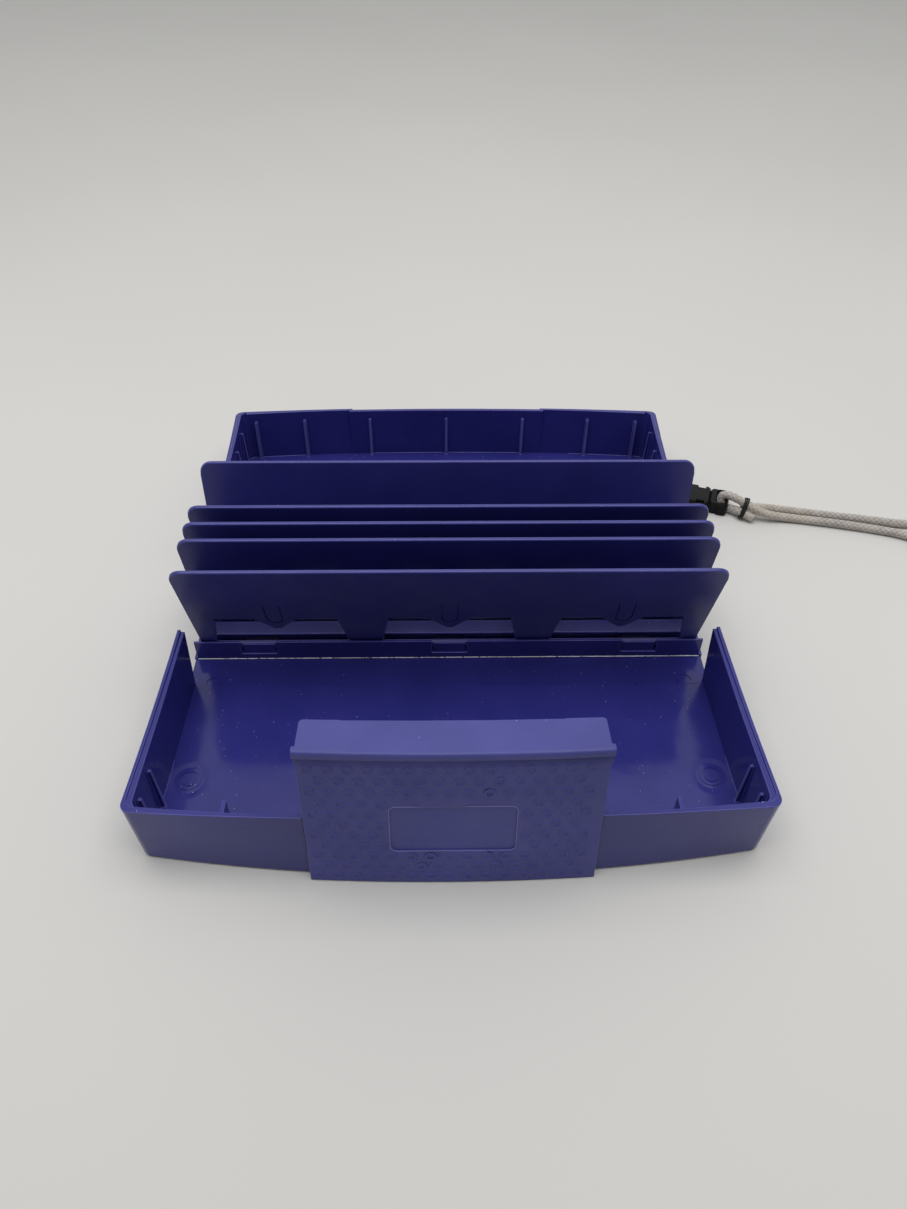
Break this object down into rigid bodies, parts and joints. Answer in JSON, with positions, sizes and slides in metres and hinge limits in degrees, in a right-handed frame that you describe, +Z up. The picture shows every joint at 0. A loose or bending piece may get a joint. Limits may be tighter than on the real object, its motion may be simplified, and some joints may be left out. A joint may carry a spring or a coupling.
{
  "type": "game cartridge case",
  "caption": "Folding case of two trays on a spine, with page-like cartridge leaves, a curved latch and a wrist strap.",
  "frame": {"origin": "middle of the spine's underside, on the table", "axes": "+X to the right seen from the latch, along the fold; +Y away from the latch; +Z up"},
  "size_m": [0.3507, 0.2343, 0.0593],
  "materials": {
    "case_plastic": "satin, dark violet blue",
    "buckle_plastic": "fine matt, near black",
    "tether_string": "smooth, black",
    "braided_cord": "braided, dark and light threads",
    "whipping_thread": "wound, dark grey"
  },
  "bodies": {
    "spine": {"spine": "case_plastic"},
    "front_tray": {"front_tray": "case_plastic"},
    "rear_tray": {"rear_tray": "case_plastic"},
    "leaf_1": {"leaf_1": "case_plastic"},
    "leaf_2": {"leaf_2": "case_plastic"},
    "leaf_3": {"leaf_3": "case_plastic"},
    "leaf_4": {"leaf_4": "case_plastic"},
    "leaf_5": {"leaf_5": "case_plastic"},
    "latch": {"latch": "case_plastic"},
    "strap_socket": {"tether_loop": "tether_string", "buckle_socket": "buckle_plastic"},
    "strap_plug": {"buckle_plug": "buckle_plastic", "strap_cord": "braided_cord", "strap_whipping": "whipping_thread"}
  },
  "joints": [
    {"name": "front_tray_hinge", "type": "hinge", "parent": "spine", "child": "front_tray", "pos_m": [0, -0.0258, 0.00055], "axis": [-1, 0, 0], "range_deg": [0, 90]},
    {"name": "rear_tray_hinge", "type": "hinge", "parent": "spine", "child": "rear_tray", "pos_m": [0, 0.0258, 0.00055], "axis": [1, 0, 0], "range_deg": [0, 90]},
    {"name": "latch_hinge", "type": "hinge", "parent": "front_tray", "child": "latch", "pos_m": [0, -0.1159, 0.00055], "axis": [1, 0, 0], "range_deg": [0, 97]},
    {"name": "strap_swing", "type": "hinge", "parent": "rear_tray", "child": "strap_socket", "pos_m": [0.10038, 0.077, 0.003], "axis": [0, 0, 1], "range_deg": [-35, 35]},
    {"name": "buckle_slide", "type": "slide", "parent": "strap_socket", "child": "strap_plug", "axis": [0.9511, -0.309, 0], "range_m": [0, 0.014]},
    {"name": "leaf_1_turn", "type": "hinge", "parent": "spine", "child": "leaf_1", "pos_m": [0, -0.0214, 0.005], "axis": [-1, 0, 0], "range_deg": [0, 17.7]},
    {"name": "leaf_2_turn", "type": "hinge", "parent": "spine", "child": "leaf_2", "pos_m": [0, -0.0122, 0.005], "axis": [-1, 0, 0], "range_deg": [0, 11.7]},
    {"name": "leaf_3_turn", "type": "hinge", "parent": "spine", "child": "leaf_3", "pos_m": [0, -0.003, 0.005], "axis": [-1, 0, 0], "range_deg": [0, 11.8]},
    {"name": "leaf_4_turn", "type": "hinge", "parent": "spine", "child": "leaf_4", "pos_m": [0, 0.0062, 0.005], "axis": [-1, 0, 0], "range_deg": [0, 11.6]},
    {"name": "leaf_5_turn", "type": "hinge", "parent": "spine", "child": "leaf_5", "pos_m": [0, 0.0154, 0.005], "axis": [1, 0, 0], "range_deg": [0, 6.8]}
  ],
  "couplings": [
    {"joint": "leaf_1_turn", "follows": "front_tray_hinge", "ratio": 0.19556},
    {"joint": "leaf_2_turn", "follows": "front_tray_hinge", "ratio": 0.12889},
    {"joint": "leaf_3_turn", "follows": "front_tray_hinge", "ratio": 0.13},
    {"joint": "leaf_4_turn", "follows": "front_tray_hinge", "ratio": 0.12778},
    {"joint": "leaf_5_turn", "follows": "rear_tray_hinge", "ratio": 0.07444}
  ]
}
